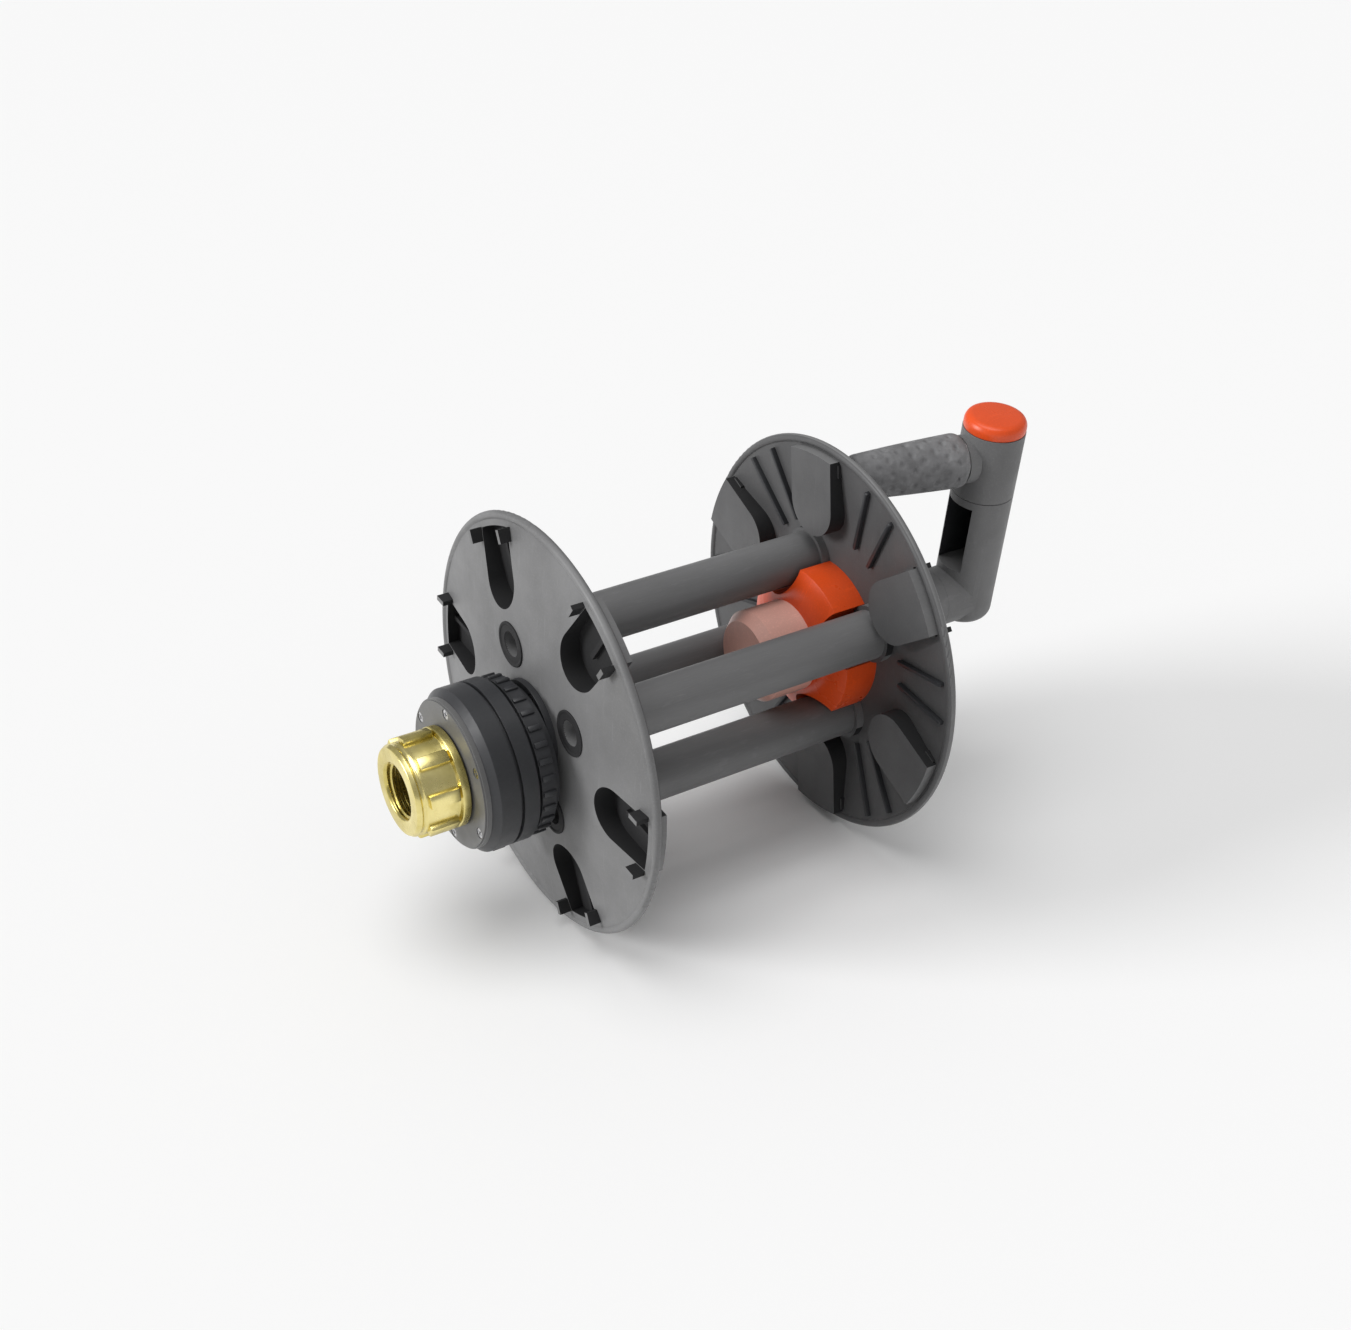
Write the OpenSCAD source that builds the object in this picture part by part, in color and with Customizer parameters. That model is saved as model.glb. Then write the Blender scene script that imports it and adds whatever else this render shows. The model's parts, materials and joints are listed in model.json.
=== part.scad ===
// Garden hose-reel drum: two dished flanges on four tubes, a stationary inlet
// hub with a brass union at one end, a crank with a turning grip at the other.
//
// Most pieces are drawn in the reel frame: the drum's axis is z, z grows
// towards the inlet, x points to the front and y is up. z = 0 is the outer
// rim plane of the inlet-side flange. reel() turns that into the part's frame:
// +X from the inlet to the crank, +Y to the back, +Z up, with the origin at
// the middle of the crank-side journal on the drum's axis.

/* [Drum] */
// Diameter of both flanges over the rolled rim
flange_d = 250; // [220:1:320]
// Clear width between the two rims
drum_gap = 191; // [150:1:300]
// Diameter of the rolled rim's bead
rim_d = 5.2; // [4:0.2:8]
// Thickness of the flange plate
plate_t = 3; // [2:0.5:4]
// How far the flat centre stands out of the rim plane
dish_h = 5; // [4:0.5:12]
// Outer diameter of a spool tube
tube_d = 30; // [20:1:34]
// Wall of a spool tube
tube_wall = 2; // [1.5:0.5:4]
// Radius of the circle that the tubes stand on
tube_circle_r = 49.5; // [46:0.5:54]
// Angle of the first tube above the front
tube_angle = 25; // [0:1:89]

/* [Flange pockets] */
// Angle of the first pocket of the inlet-side flange
inlet_pocket_angle = -7; // [-30:1:30]
// Angle of the first pocket of the crank-side flange
crank_pocket_angle = 35; // [0:1:59]
// Width of a pocket
pocket_w = 34; // [24:1:40]
// Length of a pocket along the radius
pocket_l = 47; // [40:1:48]
// Depth of a pocket below the rim plane
pocket_depth = 8; // [4:1:12]
// Height of the lugs beside a pocket above the rim plane
lug_h = 7; // [3:1:10]

/* [Water spigot] */
// Diameter of the spigot where it runs in the bush
spigot_d = 37; // [32:1:40]
// Bore of the water way
water_bore_d = 17; // [12:1:19]
// Outer diameter of the water tube on the drum's axis
water_tube_d = 22; // [20:1:25]
// Distance from the inlet-side rim plane to the hose outlet
outlet_reach = 38; // [32:1:60]
// Diameter of the hose tail at its tip
hose_tail_d = 13; // [11:0.5:15]

/* [Inlet hub] */
// Drop of the hub's own axis below the drum's axis
hub_drop = 12.5; // [8:0.5:14]
// Diameter of the hub's land
collar_d = 96; // [92:1:110]
// Length of the hub housing
hub_l = 44; // [44:1:60]
// Wall of the bearing bush
bush_wall = 3; // [2:0.5:4]
// Length of the bearing bush
bush_l = 27; // [20:1:27]

/* [Brass union] */
// Diameter over the union nut's lugs
nut_d = 61; // [50:1:66]
// Length of the union nut
nut_l = 31; // [26:1:40]
// Diameter at the crests of the union nut's thread
thread_d = 30.3; // [30:0.1:34]
// Lugs round the union nut
nut_lugs = 8; // [4:1:12]

/* [Drive] */
// Diameter of the drive hub
drive_hub_d = 95; // [80:1:110]
// Length of the drive hub
drive_hub_l = 31; // [24:1:40]
// Diameter of the pale bush in front of the drive hub
pale_bush_d = 57; // [44:1:64]
// Length of the pale bush
pale_bush_l = 32; // [20:1:40]
// Diameter of the journal that a reel frame carries
journal_d = 37.5; // [36:0.5:38]
// Length of the journal
journal_l = 30; // [20:1:40]
// Length of plain shaft between the journal's shoulder and the crank
shaft_reach = 36; // [20:1:60]

/* [Crank] */
// Diameter of the crank post
post_d = 38.8; // [38:0.2:44]
// Height of the post's foot below the drum's axis
post_foot = 17.5; // [15:0.5:25]
// Height of the swivel seat above the drum's axis
seat_h = 74; // [66:1:90]
// Height of the swivel head
head_h = 44; // [44:1:56]
// Lean of the post towards the front
post_lean = 7.5; // [-15:0.5:15]
// Diameter of the spigot that the head swings on
swivel_d = 22; // [18:1:24]

/* [Grip] */
// Swing of the grip away from straight inwards
grip_swing = 9; // [0:1:45]
// Length of the turning sleeve
sleeve_l = 72; // [50:1:73]
// Diameter of the sleeve at the crank
sleeve_root_d = 34; // [28:1:36]
// Diameter of the sleeve at its free end
sleeve_tip_d = 27; // [24:1:32]
// Diameter of the grip pin
grip_pin_d = 10; // [8:0.5:12]

/* [Fits] */
// Radial clearance of a running fit
run_fit = 0.05; // [0.02:0.01:0.1]
// Radial clearance of pieces that are assembled and stay put
seat_fit = 0.05; // [0.02:0.01:0.2]
// Clearance between faces that pass each other
pass_gap = 0.4; // [0.3:0.1:1]

/* [Hidden] */

$fn = 96;
eps = 0.01;

flange_r = flange_d / 2;
rim_r = rim_d / 2;
tube_r = tube_d / 2;
tube_bore_r = tube_r - tube_wall;
collar_r = collar_d / 2;
spigot_r = spigot_d / 2;
water_r = water_bore_d / 2;
water_tube_r = water_tube_d / 2;
journal_r = journal_d / 2;
post_r = post_d / 2;
swivel_r = swivel_d / 2;
grip_pin_r = grip_pin_d / 2;
thread_r = thread_d / 2;

// Flange
far_z = -(drum_gap + 2 * rim_d);
plate_in = dish_h - plate_t;
flat_r = tube_circle_r + tube_r + 5;
plate_r = flange_r - rim_r;
pod_wall = 2.5;
pocket_out_r = flange_r - rim_d - pod_wall - 0.5;
pocket_in_r = pocket_out_r - pocket_l;
lug_t = 3;
lug_l = 9;
pockets = 6;

// Ends of the spool tubes
tubes = 4;
seat_wall = 2.6;
seat_l = 5;
cup_r = 7.5;
cup_wall = 2;
cup_depth = 8;
cup_floor = 2.5;
plug_l = 15;
cup_floor_z = plate_in - cup_depth;
tube_screw_r = 2;
tube_screw_l = 12;

// Ring of screws at each flange's centre
centre_screws = 4;
centre_screw_r = 2;
spigot_screw_circle = 25;
drive_screw_circle = 27;
boss_r = 5;
boss_l = 8;

// Spigot, along the drum's axis
spigot_flange_r = 30;
spigot_flange_t = 4;
spigot_face = dish_h + spigot_flange_t;
tail_r = water_tube_r + 4;
tail_l = 8;
hub_z = spigot_face + 1;
hub_end = hub_z + hub_l;
bush_end = hub_z + bush_l;
seal_r = spigot_r - 2.5;
seal_bore_r = seal_r + 1.5;
seal_end = bush_end + 9;
stub_r = seal_r - 2.5;
chamber_r = seal_bore_r + 2.5;
recess_depth = 4.5;
chamber_end = hub_end - recess_depth;
o_ring_r = 1.25;
o_ring_seat = seal_bore_r - 0.1 - o_ring_r;
clip_t = 1.2;
clip_z = seal_end + 0.8;

// Hub front
recess_r = chamber_r + hub_drop + 3.5;
gasket_t = 1.5;
gasket_w = 2.5;
nipple_r = water_r + 4.3;
ring_t = 4;
ring_r = collar_r - 4;
ring_in_r = 26;
ring_screw_count = 6;
ring_screw_circle = recess_r + 3.3;
ring_screw_r = 1.5;
ring_end = hub_end + ring_t;
nut_z = ring_end + 1;
nut_wall = 10;
lip_z = nut_z + nut_wall + pass_gap;
lip_t = 4;
washer_t = 3;
thread_chamfer = 1.5;
relief_r = thread_r + 1;
relief_end = lip_z + lip_t + washer_t + pass_gap;

// Drive side, as distances outwards from the crank-side rim plane
shaft_flange_r = 36;
shaft_flange_t = 5;
tail_shaft_r = 12;
shaft_face = dish_h + shaft_flange_t;
shoulder_r = journal_r + 2.5;
shoulder_t = 5;
socket_z = shaft_face + journal_l + shoulder_t + shaft_reach;
socket_l = 24;
post_z = socket_z + 27;
bolt_r = 4;
bolt_head_r = 7;
bolt_head_l = 6;
bolt_seat = 12;
origin_x = -far_z + shaft_face + journal_l / 2;

// Swivel and grip
grip_h = seat_h + 24.7;
swivel_top = seat_h + 36;
head_wall = 4;
boss_reach = post_r + 2;
grip_washer_t = 1;
sleeve_z = boss_reach + grip_washer_t + pass_gap / 2;
sleeve_end = sleeve_z + sleeve_l;
grip_cap_t = 4;
pin_in = swivel_r + 2;
channel_w = 22;
channel_lo = journal_r + 4;
channel_hi = seat_h - 5;

// ---- Frames -------------------------------------------------------------

// From the reel frame to the part's frame.
module reel() {
    translate([-origin_x, 0, 0]) rotate([90, 0, -90]) children();
}

// The crank-side flange's own frame, with z outwards from its rim plane.
module crank_side() {
    reel() translate([0, 0, far_z]) mirror([0, 0, 1]) children();
}

// The inlet hub's own axis, below the drum's.
module hub_axis() {
    translate([0, -hub_drop, 0]) children();
}

// The post's frame: z up the post, -y inwards to the drum.
module post_frame() {
    crank_side() translate([0, 0, post_z]) rotate([0, 0, -post_lean])
        rotate([90, 0, 180]) children();
}

// The grip's frame: z out of the head along the grip's axis.
module grip_frame() {
    post_frame() translate([0, 0, grip_h]) rotate([0, 0, grip_swing])
        rotate([90, 0, 0]) children();
}

// ---- Shared shapes ------------------------------------------------------

module ring(r_in, r_out, z0, z1) {
    difference() {
        translate([0, 0, z0]) cylinder(r = r_out, h = z1 - z0);
        translate([0, 0, z0 - 1]) cylinder(r = r_in, h = z1 - z0 + 2);
    }
}

module rod(r, z0, z1) {
    translate([0, 0, z0]) cylinder(r = r, h = z1 - z0);
}

module cone(r0, r1, z0, z1) {
    translate([0, 0, z0]) cylinder(r1 = r0, r2 = r1, h = z1 - z0);
}

module around(n, r, first = 0) {
    for (k = [0 : n - 1])
        rotate([0, 0, first + 360 * k / n]) translate([r, 0, 0]) children();
}

// A pan-head screw: the head's seat is at z = 0 and the shank goes down.
module screw(r, l, head_r, head_l) {
    difference() {
        rod(head_r, 0, head_l);
        for (a = [0, 90])
            rotate([0, 0, a])
                translate([-head_r * 0.6, -r * 0.25, head_l * 0.5])
                    cube([head_r * 1.2, r * 0.5, head_l]);
    }
    rod(r, -l, eps);
}

// ---- Flange -------------------------------------------------------------

module flange_plate(bore_r) {
    rotate_extrude()
        polygon([
            [bore_r, plate_in], [bore_r, dish_h], [flat_r, dish_h],
            [plate_r, -rim_r + plate_t / 2], [plate_r, -rim_r - plate_t / 2],
            [flat_r, plate_in]
        ]);
    rotate_extrude() translate([plate_r, -rim_r]) circle(r = rim_r);
}

// Everything under the middle of the flange's plate.
module under_plate() {
    middle = dish_h - plate_t / 2;
    rotate_extrude()
        polygon([
            [0, -30], [0, middle], [flat_r, middle], [plate_r, -rim_r], [plate_r, -30]
        ]);
}

module pocket_outline(grow) {
    centre = pocket_in_r + pocket_w / 2;
    half = pocket_w / 2 + grow;
    intersection() {
        union() {
            translate([centre, 0]) circle(r = half);
            translate([centre, -half]) square([flange_r, 2 * half]);
        }
        circle(r = pocket_out_r + grow);
    }
}

module pocket_pod() {
    intersection() {
        translate([0, 0, -pocket_depth - pod_wall])
            linear_extrude(height = pocket_depth + pod_wall + dish_h)
                pocket_outline(pod_wall);
        under_plate();
    }
    for (side = [-1, 1])
        translate([pocket_out_r - lug_l, side * (pocket_w + lug_t + 1) / 2 - lug_t / 2, -rim_d])
            cube([lug_l - 1, lug_t, rim_d + lug_h]);
}

module pocket_cut() {
    translate([0, 0, -pocket_depth])
        linear_extrude(height = pocket_depth + 20) pocket_outline(0);
}

module pocket_rib() {
    translate([pocket_in_r + pocket_w / 2, -lug_t / 2, -pocket_depth - pod_wall / 2])
        cube([pocket_out_r - pocket_in_r - pocket_w / 2 + pod_wall / 2, lug_t,
              pocket_depth + pod_wall / 2 - rim_d]);
}

// Seat of one spool tube on the inner face, with the cup that holds its screw.
module tube_seat() {
    ring(tube_r + seat_fit, tube_r + seat_wall, plate_in - seat_l, plate_in + plate_t / 2);
    rod(cup_r + cup_wall, cup_floor_z - cup_floor, plate_in + plate_t / 2);
}

module tube_seat_cut() {
    rod(cup_r, cup_floor_z, dish_h + 1);
    rod(tube_screw_r + seat_fit, cup_floor_z - cup_floor - 1, cup_floor_z + 1);
}

// bosses: length of the screw bosses behind the plate, or 0 for plain holes.
module flange_moulding(bore_r, pocket_angle, screw_circle, bosses) {
    difference() {
        union() {
            flange_plate(bore_r);
            around(pockets, 0, pocket_angle) pocket_pod();
            around(tubes, tube_circle_r, tube_angle) tube_seat();
            if (bosses > 0)
                around(centre_screws, screw_circle, tube_angle + 45)
                    rod(boss_r, plate_in - bosses, plate_in + plate_t / 2);
        }
        around(pockets, 0, pocket_angle) pocket_cut();
        around(tubes, tube_circle_r, tube_angle) tube_seat_cut();
        around(centre_screws, screw_circle, tube_angle + 45)
            rod(centre_screw_r + seat_fit, -30, dish_h + 1);
    }
    around(pockets, 0, pocket_angle) pocket_rib();
}

module inlet_flange() {
    color("dimgray") reel()
        flange_moulding(tail_r + seat_fit, inlet_pocket_angle, spigot_screw_circle, boss_l);
}

module crank_flange() {
    color("dimgray") crank_side()
        flange_moulding(tail_shaft_r + seat_fit, crank_pocket_angle, drive_screw_circle, 0);
}

// ---- Spool tubes --------------------------------------------------------

module spool_tube(k) {
    color("gray") reel()
        rotate([0, 0, tube_angle + 90 * k]) translate([tube_circle_r, 0, 0])
            ring(tube_bore_r, tube_r, far_z - plate_in, plate_in);
}

// Plugs stand behind the cups at both ends of each tube.
module tube_plugs() {
    top = cup_floor_z - cup_floor;
    color("black") for (side = [0, 1])
        reel() translate([0, 0, side * far_z]) mirror([0, 0, side])
            around(tubes, tube_circle_r, tube_angle)
                ring(tube_screw_r, tube_bore_r - seat_fit, top - plug_l, top);
}

module tube_screws() {
    color("silver") for (side = [0, 1])
        reel() translate([0, 0, side * far_z]) mirror([0, 0, side])
            around(tubes, tube_circle_r, tube_angle)
                translate([0, 0, cup_floor_z])
                    screw(tube_screw_r, tube_screw_l, 2 * tube_screw_r + 0.5, 3);
}

// ---- Water way on the drum's axis ---------------------------------------

module water_spigot() {
    screw_head_r = 2 * centre_screw_r + 0.2;
    color("darkslategray") reel() difference() {
        union() {
            rod(tail_r, plate_in - tail_l, dish_h + eps);
            rod(spigot_flange_r, dish_h, spigot_face);
            rod(spigot_r, spigot_face - eps, bush_end - pass_gap);
            rod(seal_r, bush_end - pass_gap - eps, seal_end);
            rod(stub_r, seal_end - eps, chamber_end);
        }
        rod(water_r, -50, hub_end);
        rod(water_tube_r + seat_fit, plate_in - tail_l - 1, dish_h - 1);
        for (z = [bush_end + 1.5, bush_end + 5.2])
            ring(o_ring_seat - o_ring_r, seal_r + 1, z, z + 2 * o_ring_r);
        ring(stub_r - 1, stub_r + 1, clip_z, clip_z + clip_t);
        around(centre_screws, spigot_screw_circle, tube_angle + 45) {
            rod(centre_screw_r + seat_fit, 0, spigot_face + 1);
            rod(screw_head_r, spigot_face - 2.2, spigot_face + 1);
        }
    }
}

module spigot_screws() {
    color("silver") reel()
        around(centre_screws, spigot_screw_circle, tube_angle + 45)
            translate([0, 0, spigot_face - 2.2])
                screw(centre_screw_r, plate_t + boss_l - 2, 2 * centre_screw_r, 2);
}

module spigot_o_rings() {
    color("black") reel()
        for (z = [bush_end + 1.5, bush_end + 5.2])
            translate([0, 0, z + o_ring_r])
                rotate_extrude() translate([o_ring_seat, 0]) circle(r = o_ring_r, $fn = 32);
}

module spigot_circlip() {
    color("silver") reel() difference() {
        ring(stub_r - 1 + seat_fit, stub_r + 2.5, clip_z + seat_fit, clip_z + clip_t - seat_fit);
        translate([0, -2, 0]) cube([stub_r + 5, 4, hub_end]);
    }
}

module water_tube() {
    color("gray") reel()
        ring(water_r, water_tube_r, -outlet_reach + 4, dish_h - 1);
}

// Hose tail on the end of the water tube, aimed between two spool tubes.
module hose_outlet() {
    body_r = water_tube_r + 3;
    tail_base = 24;
    ridge = 0.9;
    tail = hose_tail_d / 2;
    color("black") reel() difference() {
        union() {
            rod(body_r, -outlet_reach - 11, -outlet_reach + 14);
            translate([0, 0, -outlet_reach]) rotate([0, 0, tube_angle + 45]) rotate([0, 90, 0]) {
                rod(tail + 1.5, 0, tail_base);
                rod(tail, tail_base - eps, tail_base + 26);
                for (k = [0 : 2])
                    cone(tail + ridge, tail - 0.2, tail_base + 1 + 5 * k, tail_base + 5 + 5 * k);
            }
        }
        rod(water_tube_r + seat_fit, -outlet_reach + 4, 0);
        rod(water_r, -outlet_reach - 7, 0);
        translate([0, 0, -outlet_reach]) rotate([0, 0, tube_angle + 45]) rotate([0, 90, 0])
            rod(tail - 2, 0, tail_base + 30);
    }
}

// ---- Inlet hub ----------------------------------------------------------

module hub_housing() {
    color("darkslategray") reel() difference() {
        hub_axis() {
            rotate_extrude()
                polygon([
                    [0, hub_z], [collar_r - 8, hub_z], [collar_r - 8, hub_z + 5],
                    [collar_r - 2, hub_z + 5], [collar_r - 2, hub_z + 14],
                    [collar_r - 5, hub_z + 14], [collar_r - 5, hub_z + 16.5],
                    [collar_r, hub_z + 16.5], [collar_r, hub_z + 26],
                    [collar_r - 2.5, hub_z + 26], [collar_r - 2.5, hub_z + 28],
                    [collar_r, hub_z + 28], [collar_r, hub_end - 4],
                    [collar_r - 4, hub_end], [0, hub_end]
                ]);
            // Peg that stops the hub from turning in the reel's frame
            translate([-4, -collar_r - 11, hub_z + 18]) cube([8, 14, 8]);
        }
        rod(spigot_r + bush_wall + seat_fit, hub_z - 1, bush_end);
        rod(seal_bore_r, bush_end - eps, seal_end);
        rod(chamber_r, seal_end - eps, chamber_end + eps);
        hub_axis() {
            rod(recess_r + seat_fit, chamber_end, hub_end + 1);
            around(ring_screw_count, ring_screw_circle, 30)
                rod(ring_screw_r + seat_fit, hub_end - 9, hub_end + 1);
        }
    }
}

module bearing_bush() {
    color("ivory") reel()
        ring(spigot_r + run_fit, spigot_r + bush_wall, hub_z + 0.5, bush_end);
}

module hub_gasket() {
    color("black") reel() hub_axis()
        ring(recess_r - gasket_w, recess_r, chamber_end, chamber_end + gasket_t);
}

module inlet_nipple() {
    color("goldenrod") reel() hub_axis() difference() {
        union() {
            rod(recess_r, chamber_end + gasket_t, hub_end);
            rod(nipple_r, hub_end - eps, lip_z + lip_t);
            rod(thread_r - pass_gap, lip_z, lip_z + lip_t);
        }
        rod(water_r, 0, nut_z + nut_l);
    }
}

module retaining_ring() {
    color("lightgray") reel() hub_axis() difference() {
        union() {
            ring(ring_in_r, ring_r - 1, hub_end, ring_end);
            ring(ring_in_r, ring_r, hub_end, ring_end - 1);
        }
        around(ring_screw_count, ring_screw_circle, 30) {
            rod(ring_screw_r + seat_fit, hub_end - 1, ring_end + 1);
            rod(2 * ring_screw_r + 0.2, ring_end - 2, ring_end + 1);
        }
    }
}

module ring_screws() {
    color("silver") reel() hub_axis()
        around(ring_screw_count, ring_screw_circle, 30)
            translate([0, 0, ring_end - 2])
                screw(ring_screw_r, 9, 2 * ring_screw_r, 1.6);
}

module nipple_washer() {
    color("black") reel() hub_axis()
        ring(water_r, thread_r - pass_gap, lip_z + lip_t, lip_z + lip_t + washer_t);
}

module union_nut() {
    body_r = nut_d / 2 - 3.5;
    color("gold") reel() hub_axis() difference() {
        union() {
            rod(nut_d / 2 - 1, nut_z, nut_z + 5);
            rod(body_r, nut_z, nut_z + nut_l - 2);
            cone(body_r, body_r - 2, nut_z + nut_l - 2 - eps, nut_z + nut_l);
            intersection() {
                around(nut_lugs, body_r - 4, 12)
                    translate([0, -4, nut_z + 4]) cube([10, 8, nut_l - 8]);
                rod(nut_d / 2, nut_z, nut_z + nut_l);
            }
        }
        rod(nipple_r + run_fit, nut_z - 1, nut_z + nut_l);
        rod(thread_r, nut_z + nut_wall, nut_z + nut_l + 1);
        // Relief in which the nipple's lip and the washer sit, clear of the thread
        rod(relief_r, nut_z + nut_wall, relief_end);
        cone(thread_r - eps, thread_r + thread_chamfer,
            nut_z + nut_l - thread_chamfer, nut_z + nut_l + eps);
    }
}

// ---- Drive side ---------------------------------------------------------

module drive_hub() {
    flat_l = drive_hub_l - 9;
    color("orangered") crank_side() difference() {
        rotate_extrude()
            polygon([
                [tail_shaft_r + seat_fit, plate_in - drive_hub_l],
                [pale_bush_d / 2 + 1.5, plate_in - drive_hub_l],
                [drive_hub_d / 2, plate_in - flat_l], [drive_hub_d / 2, plate_in],
                [tail_shaft_r + seat_fit, plate_in]
            ]);
        around(tubes, tube_circle_r, tube_angle) rod(tube_r + seat_wall + pass_gap, -200, 20);
        around(centre_screws, drive_screw_circle, tube_angle + 45)
            rod(centre_screw_r + seat_fit, -12, 20);
    }
}

module pale_bush() {
    top = plate_in - drive_hub_l;
    color("mistyrose") crank_side() difference() {
        union() {
            rod(pale_bush_d / 2, top - pale_bush_l + 6, top);
            cone(pale_bush_d / 2 - 5, pale_bush_d / 2, top - pale_bush_l, top - pale_bush_l + 6 + eps);
        }
        rod(tail_shaft_r + seat_fit, top - pale_bush_l + 5, top + 1);
    }
}

module drive_shaft() {
    color("dimgray") crank_side() difference() {
        union() {
            rod(tail_shaft_r, plate_in - drive_hub_l - pale_bush_l + 6, dish_h + eps);
            rod(shaft_flange_r, dish_h, shaft_face);
            rod(journal_r, shaft_face - eps, socket_z);
            rod(shoulder_r, shaft_face + journal_l, shaft_face + journal_l + shoulder_t);
            rod(tail_shaft_r, socket_z - eps, socket_z + socket_l);
        }
        rod(bolt_r + seat_fit, socket_z + socket_l - 18, socket_z + socket_l + 1);
        around(centre_screws, drive_screw_circle, tube_angle + 45)
            rod(centre_screw_r + seat_fit, 0, shaft_face + 1);
    }
}

module drive_screws() {
    color("silver") crank_side()
        around(centre_screws, drive_screw_circle, tube_angle + 45)
            translate([0, 0, shaft_face])
                screw(centre_screw_r, shaft_face + 8, 2 * centre_screw_r, 3);
}

// ---- Crank --------------------------------------------------------------

module crank_post() {
    foot_round = 8;
    color("dimgray") difference() {
        union() {
            post_frame() {
                rotate_extrude() {
                    translate([0, -post_foot + foot_round]) square([post_r, seat_h + post_foot - foot_round]);
                    translate([0, -post_foot]) square([post_r - foot_round, foot_round + eps]);
                    intersection() {
                        translate([post_r - foot_round, -post_foot + foot_round]) circle(r = foot_round);
                        translate([0, -post_foot]) square([post_r, foot_round + eps]);
                    }
                }
                rod(swivel_r, seat_h - eps, swivel_top);
            }
            crank_side() rod(journal_r, socket_z, post_z);
        }
        // Socket for the drive shaft and seat for its bolt
        crank_side() {
            rod(tail_shaft_r + seat_fit, socket_z - 1, socket_z + socket_l + 0.5);
            rod(bolt_r + seat_fit, socket_z, post_z + post_r);
            rod(bolt_head_r + seat_fit, post_z + bolt_seat, post_z + post_r + 5);
        }
        // Channel that lightens the side facing the drum
        post_frame() {
            translate([-channel_w / 2, -post_r - 1, channel_lo])
                cube([channel_w, post_r + 7, channel_hi - channel_lo]);
            rod(2.5 + seat_fit, swivel_top - 20, swivel_top + 1);
        }
    }
}

module crank_bolt() {
    color("silver") crank_side() difference() {
        union() {
            rod(bolt_head_r, post_z + bolt_seat, post_z + bolt_seat + bolt_head_l);
            rod(bolt_r, socket_z + socket_l - 16, post_z + bolt_seat + eps);
        }
        translate([0, 0, post_z + bolt_seat + bolt_head_l / 2])
            cylinder(r = bolt_head_r * 0.5, h = bolt_head_l, $fn = 6);
    }
}

module head_washer() {
    color("silver") post_frame()
        ring(2.5 + seat_fit, swivel_r + 2, swivel_top + pass_gap, swivel_top + pass_gap + 1.5);
}

module head_screw() {
    color("silver") post_frame()
        translate([0, 0, swivel_top + pass_gap + 1.5]) screw(2.5, 16, 5.5, 3);
}

// The head swings on the post's spigot and carries the grip pin.
module swivel_head() {
    head_z = seat_h + pass_gap;
    head_top = seat_h + head_h;
    color("gray") difference() {
        union() {
            post_frame() rod(post_r, head_z, head_top);
            grip_frame() rod(post_r - 4.5, swivel_r + 3, boss_reach);
        }
        post_frame() {
            rod(swivel_r + run_fit, head_z - 1, swivel_top + pass_gap);
            rod(swivel_r + head_wall, swivel_top, head_top + 1);
        }
        grip_frame() rod(grip_pin_r + seat_fit, pin_in, boss_reach + 1);
    }
}

module head_cap() {
    top = seat_h + head_h;
    skirt_r = swivel_r + head_wall - seat_fit;
    color("coral") post_frame() {
        rod(post_r - 0.2, top, top + 6);
        cone(post_r - 0.2, post_r - 3.2, top + 6 - eps, top + 9);
        ring(skirt_r - 1.5, skirt_r, top - 2.5, top + eps);
    }
}

// ---- Grip ---------------------------------------------------------------

module grip_pin() {
    color("silver") grip_frame() difference() {
        rod(grip_pin_r, pin_in, sleeve_end - grip_cap_t);
        rod(2 + seat_fit, sleeve_end - 22, sleeve_end);
    }
}

module grip_washer() {
    color("silver") grip_frame()
        ring(grip_pin_r + seat_fit, post_r - 5.4, boss_reach, boss_reach + grip_washer_t);
}

module grip_sleeve() {
    root_r = sleeve_root_d / 2;
    tip_r = sleeve_tip_d / 2;
    lip = 3;
    color("gray") grip_frame() difference() {
        union() {
            cone(root_r - 2, root_r, sleeve_z, sleeve_z + lip);
            cone(root_r, tip_r, sleeve_z + lip - eps, sleeve_end - lip);
            cone(tip_r, tip_r - 1.5, sleeve_end - lip - eps, sleeve_end);
        }
        rod(grip_pin_r + run_fit, sleeve_z - 1, sleeve_end + 1);
        rod(9, sleeve_end - grip_cap_t - pass_gap, sleeve_end + 1);
    }
}

// The cap closes the sleeve's end and its screw holds the sleeve on the pin.
module grip_cap() {
    color("black") grip_frame() difference() {
        union() {
            rod(9 - pass_gap, sleeve_end - grip_cap_t, sleeve_end + 1);
            cone(9 - pass_gap, 7.5, sleeve_end + 1 - eps, sleeve_end + 2);
        }
        rod(2 + seat_fit, sleeve_end - grip_cap_t - 1, sleeve_end + 3);
        rod(4.4, sleeve_end - 0.5, sleeve_end + 3);
    }
}

module grip_screw() {
    color("silver") grip_frame()
        translate([0, 0, sleeve_end - 0.5]) screw(2, 18, 4.2, 2);
}

inlet_flange();
crank_flange();
spool_tube(0);  // spool_tube_1
spool_tube(1);  // spool_tube_2
spool_tube(2);  // spool_tube_3
spool_tube(3);  // spool_tube_4
tube_plugs();
tube_screws();
water_spigot();
spigot_screws();
spigot_o_rings();
spigot_circlip();
water_tube();
hose_outlet();
hub_housing();
bearing_bush();
hub_gasket();
inlet_nipple();
retaining_ring();
ring_screws();
nipple_washer();
union_nut();
drive_hub();
pale_bush();
drive_shaft();
drive_screws();
crank_post();
crank_bolt();
head_screw();
head_washer();
swivel_head();
head_cap();
grip_pin();
grip_washer();
grip_sleeve();
grip_cap();
grip_screw();
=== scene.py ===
"""Looks of a garden hose-reel drum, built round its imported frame."""

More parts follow.
